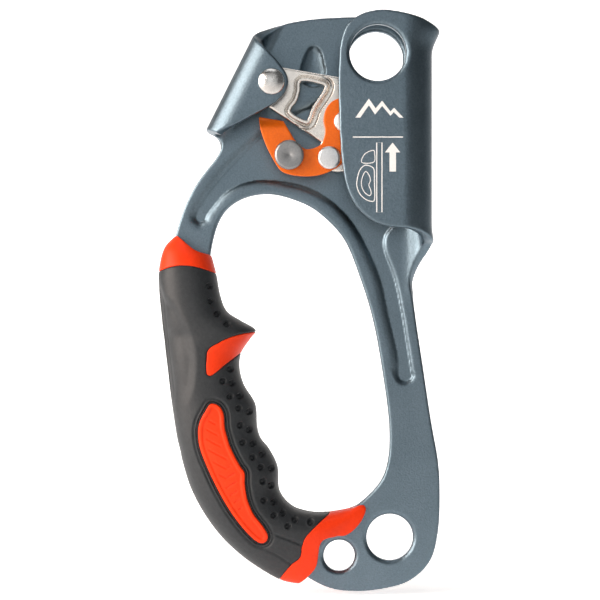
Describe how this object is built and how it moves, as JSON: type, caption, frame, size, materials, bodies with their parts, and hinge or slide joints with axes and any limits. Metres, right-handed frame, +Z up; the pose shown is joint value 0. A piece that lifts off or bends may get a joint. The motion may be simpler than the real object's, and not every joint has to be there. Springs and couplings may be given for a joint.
{
  "type": "handled rope ascender",
  "caption": "Handled rope ascender: folded plate with rope channel, sprung toothed cam with catch lever, and a two-material hand grip.",
  "frame": {"origin": "centre of the large attachment bore at the foot, at mid thickness of the plate", "axes": "+Z up along the rope, +X towards the rope channel, -Y towards the front with the cam"},
  "size_m": [0.0937, 0.0308, 0.1915],
  "materials": {
    "anodised_aluminium": "satin anodised",
    "cam_steel": "nickel plated, satin",
    "bush_bronze": "machined",
    "rivet_steel": "polished",
    "spring_steel": "drawn wire",
    "catch_aluminium": "orange anodised",
    "knob_steel": "blasted",
    "core_plastic": "moulded",
    "grip_rubber": "moulded soft grip",
    "trim_plastic": "moulded"
  },
  "bodies": {
    "plate": {"frame": "anodised_aluminium", "cam_bush": "bush_bronze", "cam_axle": "rivet_steel", "cam_axle_collar": "rivet_steel", "cam_washers": "rivet_steel", "cam_spring": "spring_steel", "core_front": "core_plastic", "core_rear": "core_plastic", "grip_front": "grip_rubber", "grip_rear": "grip_rubber", "inlay_front": "trim_plastic", "inlay_rear": "trim_plastic", "top_collar_front": "trim_plastic", "top_collar_rear": "trim_plastic", "horn_front": "trim_plastic", "horn_rear": "trim_plastic", "foot_collar_front": "trim_plastic", "foot_collar_rear": "trim_plastic", "shell_dowels": "rivet_steel"},
    "cam": {"cam": "cam_steel", "cam_teeth": "cam_steel", "catch_pivot": "rivet_steel", "catch_spring": "spring_steel"},
    "catch": {"catch_lever": "catch_aluminium", "catch_knob": "knob_steel", "catch_guide": "rivet_steel"}
  },
  "joints": [
    {"name": "cam_pivot", "type": "hinge", "parent": "plate", "child": "cam", "pos_m": [-0.0393, -0.0048, 0.1505], "axis": [0, 1, 0], "range_deg": [0, 38], "stiffness_Nm_per_rad": 0.06, "springref_deg": -40.11},
    {"name": "catch_pivot_hinge", "type": "hinge", "parent": "cam", "child": "catch", "pos_m": [-0.0155, -0.0086, 0.1379], "axis": [0, -1, 0], "range_deg": [0, 8], "stiffness_Nm_per_rad": 0.01, "springref_deg": -28.65}
  ]
}
